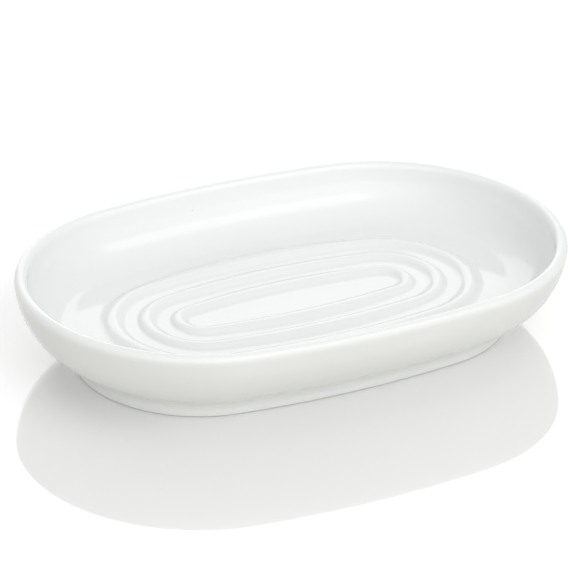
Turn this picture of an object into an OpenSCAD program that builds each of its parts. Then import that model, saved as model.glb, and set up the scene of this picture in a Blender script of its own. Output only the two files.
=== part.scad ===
// Oval soap dish in one piece: a low bowl with a rounded rim, a set-in foot ring
// and three low ridges round a flat middle that keep the soap off the floor.
//
// Every height is measured from the table, and every inset is measured inward
// from the widest outline. The whole dish is one cross-section carried round
// an oval of four arcs, two at the ends and two along the sides. The arcs
// meet without a corner, and so do all the rings inside them.

/* [Outline] */
// Overall length, along X
length = 140; // [128:1:156]
// Overall width, along Y
width = 91; // [90:1:100]
// Overall height, from the table to the top of the rim
height = 23; // [21:0.5:26]
// How far the middle of a long side stands out past a straight side
side_bow = 1.75; // [0.8:0.05:2.4]

/* [Wall] */
// Thickness of the wall at the fully rounded rim
wall = 3; // [2.4:0.1:3.6]
// Radius of the one round that runs from the rim down and in to the foot
outer_radius = 19; // [17:0.5:21]
// Radius between the inner wall and the floor
cove_radius = 10.5; // [8:0.5:11]
// Thickness of the floor between the ridges
floor_thickness = 4.8; // [4:0.1:5.5]

/* [Foot] */
// Width of the foot ring
foot_width = 4.5; // [3.5:0.5:6]
// Depth of the recess inside the foot ring
recess_depth = 5.4; // [4.4:0.1:6]
// Radius of the soft crease above the foot ring
crease_radius = 1; // [0.6:0.1:1.6]
// Radius between the foot ring and the recess
recess_radius = 1.5; // [0.8:0.1:2]
// Radius on the two lower edges of the foot ring
foot_edge_radius = 0.6; // [0.3:0.1:0.9]

/* [Ridges] */
// Number of ridges, one inside the other
ridge_count = 3; // [1:1:3]
// Height of each ridge above the floor
ridge_height = 1; // [0.7:0.1:1.5]
// Distance from one crest to the next
ridge_pitch = 7.5; // [7:0.25:7.75]
// Distance from the long centre line to the innermost crest
inner_crest = 7.8; // [7:0.1:8.2]
// Width of the slope on the inner side of each ridge
inner_slope = 3.3; // [2.5:0.1:3.7]
// Width of the slope from the outermost crest to the flat edge of the floor
edge_slope = 7; // [6:0.25:9]

/* [Hidden] */
$fn = 180;
glaze = [0.95, 0.95, 0.94];
overrun = 1;

// Lean of the outside where it leaves the rim, as the sine of its angle, from a 237-3116-3125 triangle
lean_share = 237 / 3125;
// Where the crease meets the outside, as the sine of its angle under the centre, from a 7-24-25 triangle
crease_share = 7 / 25;

// The oval: end arcs and side arcs that touch on the line through their centres
half_length = length / 2;
half_width = width / 2;
end_radius = half_width - side_bow;
end_centre = half_length - end_radius;
side_radius = (end_centre ^ 2 + half_width ^ 2 - end_radius ^ 2) / (2 * side_bow);
side_centre = side_radius - half_width;
side_angle = atan(end_centre / side_centre);

// The rim, and the level at which the outside leaves it
rim_radius = wall / 2;
rim_centre = [rim_radius, height - rim_radius];
rim_way = [-sqrt(1 - lean_share ^ 2), -lean_share];
joint_level = rim_centre[1] + rim_radius * rim_way[1];

// The outside, and the crease that touches it and the side of the foot ring
outer_centre = rim_centre - (outer_radius - rim_radius) * rim_way;
crease_way = [-crease_share, -sqrt(1 - crease_share ^ 2)];
crease_top = outer_centre + outer_radius * crease_way;
crease_centre = crease_top + crease_radius * crease_way;
foot_inset = crease_centre[0] + crease_radius;
foot_inner = foot_inset + foot_width;

// Levels and insets of the inside
floor_level = recess_depth + floor_thickness;
cove = min(cove_radius, joint_level - floor_level);
cove_centre = [wall + cove, floor_level + cove];
outer_crest = half_width - inner_crest - (ridge_count - 1) * ridge_pitch;
floor_edge = outer_crest - edge_slope;
middle_edge = half_width - inner_crest + inner_slope;

// Levels inside the floor between which its lower and upper layers overlap
layer_top = floor_level - floor_thickness / 4;
layer_base = floor_level - floor_thickness / 2;

// Rectangle between two opposite corners
module block(low, high) {
    polygon([low, [high[0], low[1]], high, [low[0], high[1]]]);
}

// Part of a disc inside a rectangle
module disc_within(centre, radius, low, high) {
    intersection() {
        translate(centre) circle(radius);
        block(low, high);
    }
}

// Outer wall, from the rim down to the crease and in to the inner side of the foot ring
module wall_section() {
    beyond = [foot_inner + overrun, joint_level + overrun];
    difference() {
        disc_within(outer_centre, outer_radius,
            [-overrun, crease_top[1]], [foot_inner, joint_level]);
        translate(cove_centre) circle(cove);
        block([wall, cove_centre[1]], beyond);
        block([cove_centre[0], layer_top], beyond);
    }
}

// Rim: round over the top and on the outside, straight on the inside
module rim_section() {
    disc_within(rim_centre, rim_radius,
        [-overrun, rim_centre[1]], [wall + overrun, height + overrun]);
    disc_within(rim_centre, rim_radius,
        [-overrun, joint_level], rim_centre);
    block([rim_radius, joint_level], [wall, rim_centre[1]]);
}

// Foot ring with its rounded lower edges and the crease above it
module foot_section() {
    outer_edge = foot_inset + foot_edge_radius;
    inner_edge = foot_inner - foot_edge_radius;
    difference() {
        polygon([
            crease_centre,
            crease_top,
            [foot_inner, crease_top[1]],
            [foot_inner, crease_centre[1]]
        ]);
        translate(crease_centre) circle(crease_radius);
    }
    block([foot_inset, foot_edge_radius], [foot_inner, crease_centre[1]]);
    block([outer_edge, 0], [inner_edge, foot_edge_radius]);
    disc_within([outer_edge, foot_edge_radius], foot_edge_radius,
        [foot_inset - overrun, -overrun], [outer_edge, foot_edge_radius]);
    disc_within([inner_edge, foot_edge_radius], foot_edge_radius,
        [inner_edge, -overrun], [foot_inner + overrun, foot_edge_radius]);
}

// Lower layer of the floor, with the round from the foot ring into the recess
module recess_section() {
    round_end = foot_inner + recess_radius;
    difference() {
        block([foot_inner, recess_depth - recess_radius], [round_end, layer_top]);
        translate([round_end, recess_depth - recess_radius]) circle(recess_radius);
    }
    block([round_end, recess_depth], [end_radius, layer_top]);
}

// One slope of a ridge, from its crest at zero down to the floor at run:
// a round crest and a round valley of one radius that meet half way down
module slope_section(run) {
    radius = (run ^ 2 + ridge_height ^ 2) / (4 * ridge_height);
    half_run = run / 2;
    half_rise = ridge_height / 2;
    block([0, layer_base - floor_level], [half_run, half_rise]);
    disc_within([0, ridge_height - radius], radius,
        [0, half_rise], [half_run, ridge_height + overrun]);
    difference() {
        block([half_run, layer_base - floor_level], [run, half_rise]);
        translate([run, radius]) circle(radius);
    }
}

// Upper layer of the floor: its flat edge, the ridges and the flat middle inside them
module ridges_section() {
    block([cove_centre[0], layer_base], [floor_edge, floor_level]);
    for (i = [0 : ridge_count - 1]) {
        crest = outer_crest + i * ridge_pitch;
        outer_run = i == 0 ? edge_slope : ridge_pitch - inner_slope;
        translate([crest, floor_level]) {
            slope_section(inner_slope);
            mirror([1, 0]) slope_section(outer_run);
        }
    }
    block([middle_edge, layer_base], [end_radius, floor_level]);
}

// The whole cross-section by inset and height, from the outline to the end centre
module section() {
    wall_section();
    rim_section();
    foot_section();
    recess_section();
    ridges_section();
}

// The cross-section carried round a centre, a little further than its arc of the outline
module sweep(radius, first_angle, angle) {
    rotate_extrude(start = first_angle, angle = angle)
        translate([radius, 0]) mirror([1, 0]) section();
}

// Upright block over a flat outline, taller than the dish
module share_of_plan(outline) {
    translate([0, 0, -overrun])
        linear_extrude(height + 2 * overrun) polygon(outline);
}

// One end, cut off where it meets the long sides
module end() {
    reach = 2 * end_centre;
    intersection() {
        translate([end_centre, 0, 0]) sweep(end_radius, -90, 180);
        share_of_plan([
            [end_centre, 0],
            [reach, side_centre],
            [length, side_centre],
            [length, -side_centre],
            [reach, -side_centre]
        ]);
    }
}

// One long side, cut off where it meets the ends
module side() {
    reach = 2 * end_centre;
    intersection() {
        translate([0, -side_centre, 0])
            sweep(side_radius, 90 - 2 * side_angle, 4 * side_angle);
        share_of_plan([
            [0, -side_centre],
            [reach, side_centre],
            [-reach, side_centre]
        ]);
    }
}

// Flat middle between the inner edges of the two side arcs
module middle() {
    half_depth = (side_bow + half_width - middle_edge) / 2;
    half_run = end_centre + half_depth / 2;
    translate([-half_run, -half_depth, recess_depth])
        cube([2 * half_run, 2 * half_depth, floor_thickness]);
}

module dish() {
    color(glaze) {
        for (turned = [0, 180]) rotate(turned) {
            end();
            side();
        }
        middle();
    }
}

dish();
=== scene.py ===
import math
import bpy
from mathutils import Matrix, Vector


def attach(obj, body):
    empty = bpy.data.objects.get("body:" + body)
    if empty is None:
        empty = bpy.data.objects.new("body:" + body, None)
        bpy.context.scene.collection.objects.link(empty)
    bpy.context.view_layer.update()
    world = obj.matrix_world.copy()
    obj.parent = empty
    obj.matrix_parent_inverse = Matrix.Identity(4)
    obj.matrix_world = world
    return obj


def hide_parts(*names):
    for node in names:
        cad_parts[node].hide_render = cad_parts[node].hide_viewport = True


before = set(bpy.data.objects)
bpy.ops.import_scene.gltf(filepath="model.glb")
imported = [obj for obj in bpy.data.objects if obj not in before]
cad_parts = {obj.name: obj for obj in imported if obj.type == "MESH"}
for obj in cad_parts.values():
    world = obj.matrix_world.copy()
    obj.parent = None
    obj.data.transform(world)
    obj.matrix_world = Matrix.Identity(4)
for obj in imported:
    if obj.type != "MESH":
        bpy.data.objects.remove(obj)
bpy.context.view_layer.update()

MM = 0.001

# Outline: an oval of four arcs, in millimetres as all sizes of the dish are
LENGTH = 140.0
WIDTH = 91.0
HEIGHT = 23.0
# how far the middle of a long side stands out past a straight side
SIDE_BOW = 1.75
END_RADIUS = WIDTH / 2 - SIDE_BOW
END_CENTRE = LENGTH / 2 - END_RADIUS

# Wall: its thickness at the round rim, the outside's one round, and its lean where it leaves the rim
WALL = 3.0
OUTER_RADIUS = 19.0
LEAN = math.asin(237 / 3125)

# Foot ring, the soft crease above it and the recess inside it
FOOT_INSET = 14.2
FOOT_WIDTH = 4.5
FOOT_EDGE = 0.6
CREASE_RADIUS = 5.3
RECESS = 5.4
RECESS_RADIUS = 1.5
FLOOR = 4.8
FLOOR_LEVEL = RECESS + FLOOR

# Cove between floor and wall, a quarter of an ellipse
COVE_RUN = 11.4
COVE_HEIGHT = 10.5

# Ridges, the innermost crest measured from the long centre line
RIDGES = 3
RIDGE_HEIGHT = 1.15
PITCH = 7.5
INNER_CREST = 7.8
INNER_SLOPE = 3.3
# the share of a slope's two rounds that the crest takes where both are the same
EVEN = 0.5
# outer slopes: width along the sides, width at the ends, and the crest's share
OUTER_SLOPE = (3.9, 2.3, 0.66)
OUTERMOST_SLOPE = (7.2, 3.2, EVEN)
# the innermost ridge's oval is this much shorter at each end and lies this far along
SHORTER = 1.5
ALONG = 0.2

# Painted shade outside: a darker, warmer glaze colour stands in for the shade on the outer wall. The
# depth below the rim over which it sets in, the height under which it lessens so the foot is painted
# lighter, and the least share of it there
RIM_FADE = 2.4
FOOT_FADE = 5.0
FOOT_SHARE = 0.4

# Steps of the mesh, across the section and round each oval
SLOPE_STEPS = 12
COVE_STEPS = 36
RIM_STEPS = 26
OUTER_STEPS = 36
CREASE_STEPS = 12
EDGE_STEPS = 6
RECESS_STEPS = 8
END_STEPS = 136
SIDE_STEPS = 34


# Cross-section
def arc(centre, radius, first, last, steps):
    """Points on an arc by inset and height, angles in degrees, both ends included."""
    out = []
    for i in range(steps + 1):
        a = math.radians(first + (last - first) * i / steps)
        out.append((centre[0] + radius * math.cos(a), centre[1] + radius * math.sin(a)))
    return out


def slope(crest, run, side, share):
    """From a crest down to the floor on the side -1 or 1: the crest's round, then the foot's."""
    radii = (run ** 2 + RIDGE_HEIGHT ** 2) / (2 * RIDGE_HEIGHT)
    turn = side * math.degrees(math.asin(run / radii))
    upper, lower = share * radii, (1 - share) * radii
    return (arc((crest, FLOOR_LEVEL + RIDGE_HEIGHT - upper), upper, 90, 90 - turn, SLOPE_STEPS)
            + arc((crest + side * run, FLOOR_LEVEL + lower), lower, 270 - turn, 270, SLOPE_STEPS)[1:])


def inside_section():
    """Inset along the sides, inset at the ends and height, from the flat middle to the rim."""
    points = []
    for n in range(RIDGES):
        crest = WIDTH / 2 - INNER_CREST - n * PITCH
        run, end_run, share = OUTERMOST_SLOPE if n == RIDGES - 1 else OUTER_SLOPE
        points += [(inset, inset, z) for inset, z in reversed(slope(crest, INNER_SLOPE, 1, EVEN))]
        points += [(inset, crest - (crest - inset) * end_run / run, z)
                   for inset, z in slope(crest, run, -1, share)[1:]]
    for x, z in arc((0, 0), 1, 270, 180, COVE_STEPS):
        inset = WALL + COVE_RUN * (1 + x)
        points.append((inset, inset, FLOOR_LEVEL + COVE_HEIGHT * (1 + z)))
    return points


def outside_section():
    """Inset and height, from the inner side of the rim over it and down to the foot and recess."""
    rim = (WALL / 2, HEIGHT - WALL / 2)
    outer = (rim[0] + (OUTER_RADIUS - WALL / 2) * math.cos(LEAN),
             rim[1] + (OUTER_RADIUS - WALL / 2) * math.sin(LEAN))
    # the crease touches the outside's round and the upright side of the foot
    across = outer[0] - (FOOT_INSET - CREASE_RADIUS)
    below = math.sqrt((OUTER_RADIUS + CREASE_RADIUS) ** 2 - across ** 2)
    crease = (outer[0] - across, outer[1] - below)
    lean, low = math.degrees(LEAN), math.degrees(math.atan2(below, across))
    outer_edge = FOOT_INSET + FOOT_EDGE
    inner_edge = FOOT_INSET + FOOT_WIDTH - FOOT_EDGE
    recess = (FOOT_INSET + FOOT_WIDTH + RECESS_RADIUS, RECESS - RECESS_RADIUS)
    return (arc(rim, WALL / 2, 0, 180 + lean, RIM_STEPS)
            + arc(outer, OUTER_RADIUS, 180 + lean, 180 + low, OUTER_STEPS)[1:]
            + arc(crease, CREASE_RADIUS, low, 0, CREASE_STEPS)[1:]
            + arc((outer_edge, FOOT_EDGE), FOOT_EDGE, 180, 270, EDGE_STEPS)
            + arc((inner_edge, FOOT_EDGE), FOOT_EDGE, 270, 360, EDGE_STEPS)
            + arc(recess, RECESS_RADIUS, 180, 90, RECESS_STEPS))


# Mesh of the dish
def towards_middle(inset):
    """Share of the way from the inner wall to the innermost crest, eased at both ends."""
    share = min(1.0, (inset - WALL) / (WIDTH / 2 - INNER_CREST - WALL))
    return share * share * (3 - 2 * share)


def ring(inset, end_inset, share):
    """One oval of four arcs, by its insets along the sides and at the ends, shorter by a share."""
    centre, along = END_CENTRE - SHORTER * share, ALONG * share
    end, half = END_RADIUS - end_inset, WIDTH / 2 - inset
    side = (centre ** 2 + half ** 2 - end ** 2) / (2 * (half - end))
    lean = math.atan(centre / (side - half))
    out = []
    for turn in (1, -1):
        for i in range(END_STEPS):
            a = -math.pi / 2 + lean + (math.pi - 2 * lean) * i / END_STEPS
            out.append((turn * (centre + end * math.cos(a)) + along, turn * end * math.sin(a)))
        for i in range(SIDE_STEPS):
            a = math.pi / 2 - lean + 2 * lean * i / SIDE_STEPS
            out.append((turn * side * math.cos(a) + along,
                        turn * (side * math.sin(a) - side + half)))
    return out


def painted_shade_share(z):
    """Share of painted shade at a height outside, less near the rim and towards the foot."""
    below_rim = min(1.0, max(0.0, (HEIGHT - z) / RIM_FADE))
    above_foot = min(1.0, max(FOOT_SHARE, z / FOOT_FADE))
    return below_rim * above_foot


def dish_mesh():
    """The whole closed surface, with the share of painted shade on each point."""
    rows = [(ring(inset, end_inset, towards_middle(inset)), z, 0.0)
            for inset, end_inset, z in inside_section()]
    rim_top = RIM_STEPS // 2
    rows += [(ring(inset, inset, 0), z, painted_shade_share(z) if n >= rim_top else 0.0)
             for n, (inset, z) in enumerate(outside_section())]
    vertices = [(x * MM, y * MM, z * MM) for outline, z, _ in rows for x, y in outline]
    shares = [share for outline, _, share in rows for _ in outline]
    count = len(rows[0][0])
    last = (len(rows) - 1) * count
    faces = []
    for start in range(0, last, count):
        for c in range(count):
            a, b = start + c, start + (c + 1) % count
            faces.append((a, a + count, b + count, b))
    # the flat middle of the floor and the top of the recess close the surface
    faces.append(tuple(range(count)))
    faces.append(tuple(range(last + count - 1, last - 1, -1)))
    mesh = bpy.data.meshes.new("dish_glazed")
    mesh.from_pydata(vertices, [], faces)
    mesh.attributes.new("outside", "FLOAT", "POINT").data.foreach_set("value", shares)
    mesh.polygons.foreach_set("use_smooth", [True] * len(mesh.polygons))
    mesh.update()
    return mesh


# Materials: each glaze colour has two shades for its clouding; the darker, warmer one is painted shade
# for the outer wall
PLAIN_GLAZE = ((0.862, 0.877, 0.870), (0.882, 0.896, 0.889))
SHADED_GLAZE = ((0.722, 0.728, 0.696), (0.742, 0.748, 0.717))
SPECK_COLOUR = (0.80, 0.79, 0.77, 1)
CLAY_COLOUR = (0.74, 0.71, 0.66, 1)
FLOOR_COLOUR = (0.93, 0.93, 0.93, 1)
BLACK = (0, 0, 0)
WHITE = (1, 1, 1)
# the numbers of a mix node's two inputs and its output, by its data type
MIX_SOCKETS = {"FLOAT": (2, 3, 0), "RGBA": (6, 7, 2)}


def new_material(name):
    """A new material with its nodes and links."""
    material = bpy.data.materials.new(name)
    material.use_nodes = True
    return material, material.node_tree.nodes, material.node_tree.links


def glaze_material():
    """White glaze with clouding, specks and faint wiping marks, and bare clay under the foot."""
    material, nodes, links = new_material("glaze_white")
    shader = nodes["Principled BSDF"]
    place = nodes.new("ShaderNodeTexCoord").outputs["Object"]

    def noise(scale, detail):
        node = nodes.new("ShaderNodeTexNoise")
        node.inputs["Scale"].default_value = scale
        node.inputs["Detail"].default_value = detail
        links.new(place, node.inputs["Vector"])
        return node.outputs["Fac"]

    def ramp(source, low, low_colour, high, high_colour):
        node = nodes.new("ShaderNodeValToRGB")
        first, last = node.color_ramp.elements
        first.position, first.color = low, (*low_colour, 1)
        last.position, last.color = high, (*high_colour, 1)
        links.new(source, node.inputs["Fac"])
        return node.outputs["Color"]

    def spread(source, first=0.0, last=1.0, low=0.0, high=1.0):
        node = nodes.new("ShaderNodeMapRange")
        node.inputs["From Min"].default_value = first
        node.inputs["From Max"].default_value = last
        node.inputs["To Min"].default_value = low
        node.inputs["To Max"].default_value = high
        links.new(source, node.inputs["Value"])
        return node.outputs[0]

    def mix(kind, factor, first, second):
        node = nodes.new("ShaderNodeMix")
        node.data_type = kind
        a, b, result = MIX_SOCKETS[kind]
        links.new(factor, node.inputs[0])
        links.new(first, node.inputs[a])
        if isinstance(second, bpy.types.NodeSocket):
            links.new(second, node.inputs[b])
        else:
            node.inputs[b].default_value = second
        return node.outputs[result]

    # slight clouding of the glaze, inside and outside
    clouds = noise(scale=26, detail=3)
    # painted shade: the outside attribute blends the darker, warmer glaze colour over the outer wall
    outside = nodes.new("ShaderNodeAttribute")
    outside.attribute_name = "outside"
    colour = mix("RGBA", outside.outputs["Fac"],
                 ramp(clouds, 0.3, PLAIN_GLAZE[0], 0.7, PLAIN_GLAZE[1]),
                 ramp(clouds, 0.3, SHADED_GLAZE[0], 0.7, SHADED_GLAZE[1]))
    # a few faint specks under the glaze
    cells = nodes.new("ShaderNodeTexVoronoi")
    cells.inputs["Scale"].default_value = 190
    links.new(place, cells.inputs["Vector"])
    speck = nodes.new("ShaderNodeMath")
    speck.operation = "MULTIPLY"
    links.new(ramp(cells.outputs["Distance"], 0.035, WHITE, 0.06, BLACK), speck.inputs[0])
    links.new(ramp(cells.outputs["Color"], 0.86, BLACK, 0.9, WHITE), speck.inputs[1])
    colour = mix("RGBA", speck.outputs[0], colour, SPECK_COLOUR)
    # bare clay on the face that the foot ring stands on
    axes = nodes.new("ShaderNodeSeparateXYZ")
    links.new(place, axes.inputs[0])
    bare = spread(axes.outputs["Z"], first=0.22 * MM, last=0.08 * MM)
    links.new(mix("RGBA", bare, colour, CLAY_COLOUR), shader.inputs["Base Color"])
    # gloss: smooth glaze with faint wiping marks, dull on the bare clay
    gloss = spread(noise(scale=60, detail=4), low=0.045, high=0.10)
    links.new(mix("FLOAT", bare, gloss, 0.75), shader.inputs["Roughness"])
    shader.inputs["IOR"].default_value = 1.5
    shader.inputs["Specular IOR Level"].default_value = 0.5
    # the soft unevenness of a fired glaze
    bump = nodes.new("ShaderNodeBump")
    bump.inputs["Strength"].default_value = 0.06
    bump.inputs["Distance"].default_value = 0.2 * MM
    links.new(noise(scale=140, detail=2), bump.inputs["Height"])
    links.new(bump.outputs["Normal"], shader.inputs["Normal"])
    return material


def floor_material():
    """Matt white with a faint mirror image in it, as a pale acrylic sheet has."""
    material, nodes, links = new_material("floor_white")
    shader = nodes["Principled BSDF"]
    shader.inputs["Base Color"].default_value = FLOOR_COLOUR
    shader.inputs["Roughness"].default_value = 0.9
    shader.inputs["Specular IOR Level"].default_value = 0.0
    mirror = nodes.new("ShaderNodeBsdfGlossy")
    mirror.inputs["Roughness"].default_value = 0.03
    mirror.inputs["Color"].default_value = (*WHITE, 1)
    both = nodes.new("ShaderNodeMixShader")
    both.inputs[0].default_value = 0.2
    links.new(shader.outputs[0], both.inputs[1])
    links.new(mirror.outputs[0], both.inputs[2])
    links.new(both.outputs[0], nodes["Material Output"].inputs["Surface"])
    return material


# Dish
dish = bpy.data.objects.new("dish_glazed", dish_mesh())
bpy.context.scene.collection.objects.link(dish)
dish.data.materials.append(glaze_material())
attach(dish, "root")
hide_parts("dish")

# Floor, in metres
FLOOR_REACH = 6.0
floor_mesh = bpy.data.meshes.new("floor")
floor_corners = [(x * FLOOR_REACH, y * FLOOR_REACH, 0) for x, y in ((-1, -1), (1, -1), (1, 1), (-1, 1))]
floor_mesh.from_pydata(floor_corners, [], [(0, 1, 2, 3)])
floor = bpy.data.objects.new("floor", floor_mesh)
bpy.context.scene.collection.objects.link(floor)
floor_mesh.materials.append(floor_material())


# Light
def toward(bearing, elevation):
    """Unit vector by compass bearing, clockwise from +Y seen from above, and elevation."""
    b, e = math.radians(bearing), math.radians(elevation)
    return Vector((math.sin(b) * math.cos(e), math.cos(b) * math.cos(e), math.sin(e)))


def studio_world(base, glows):
    """An even world with soft round glows, each a bearing, elevation, reach in degrees and strength."""
    world = bpy.data.worlds.new("studio")
    bpy.context.scene.world = world
    world.use_nodes = True
    nodes, links = world.node_tree.nodes, world.node_tree.links
    direction = nodes.new("ShaderNodeTexCoord").outputs["Generated"]
    total = None
    for bearing, elevation, reach, strength in glows:
        near = nodes.new("ShaderNodeVectorMath")
        near.operation = "DOT_PRODUCT"
        near.inputs[1].default_value = toward(bearing, elevation)
        links.new(direction, near.inputs[0])
        glow = nodes.new("ShaderNodeMapRange")
        glow.interpolation_type = "SMOOTHSTEP"
        glow.inputs["From Min"].default_value = math.cos(math.radians(reach))
        glow.inputs["To Max"].default_value = strength
        links.new(near.outputs["Value"], glow.inputs["Value"])
        added = nodes.new("ShaderNodeMath")
        added.inputs[0].default_value = base
        links.new(glow.outputs[0], added.inputs[1])
        if total:
            links.new(total, added.inputs[0])
        total = added.outputs[0]
    nodes["Background"].inputs["Color"].default_value = (*WHITE, 1)
    links.new(total, nodes["Background"].inputs["Strength"])


def softbox(name, bearing, elevation, distance, width, height, level):
    """A lamp that looks as bright as a white surface times its level, sizes in metres."""
    light = bpy.data.lights.new(name, "AREA")
    light.shape = "RECTANGLE"
    light.size, light.size_y = width, height
    light.energy = math.pi * width * height * level
    lamp = bpy.data.objects.new(name, light)
    bpy.context.scene.collection.objects.link(lamp)
    lamp.location = toward(bearing, elevation) * distance
    lamp.rotation_euler = lamp.location.to_track_quat("Z", "Y").to_euler()


# glows low behind, high in front and low in front
studio_world(0.59, [(24, 14, 60, 0.4), (194, 45, 80, 0.2), (194, 15, 60, 0.75)])
softbox("back", bearing=20, elevation=18, distance=2.0, width=1.2, height=1.4, level=0.8)
softbox("strip", bearing=158, elevation=48, distance=1.5, width=1.25, height=0.62, level=1.35)

# Camera: the photograph's width in pixels and the sensor's in millimetres
IMAGE_PIXELS = 573
SENSOR = 36


def place_camera(scale, azimuth, elevation, distance, across, above, roll):
    """The camera, by pixels per millimetre at the origin, angles in degrees and shifts in mm."""
    az, el, ro = math.radians(azimuth), math.radians(elevation), math.radians(roll)
    back = Vector((math.sin(az) * math.cos(el), -math.cos(az) * math.cos(el), math.sin(el)))
    right = Vector((math.cos(az), math.sin(az), 0))
    up = back.cross(right)
    place = (back * distance + right * across + up * above) * MM
    turned_right = right * math.cos(ro) + up * math.sin(ro)
    turned_up = up * math.cos(ro) - right * math.sin(ro)
    data = bpy.data.cameras.new("camera")
    data.sensor_width = SENSOR
    data.lens = scale * distance * SENSOR / IMAGE_PIXELS
    data.clip_start, data.clip_end = 0.05, 40
    camera = bpy.data.objects.new("camera", data)
    bpy.context.scene.collection.objects.link(camera)
    rows = Matrix((turned_right, turned_up, back)).transposed()
    camera.matrix_world = Matrix.Translation(place) @ rows.to_4x4()
    bpy.context.scene.camera = camera


place_camera(scale=4.096, azimuth=-28.709, elevation=26.377, distance=1000,
             across=-1.71, above=12.58, roll=1.422)
bpy.context.scene.view_settings.view_transform = "Standard"
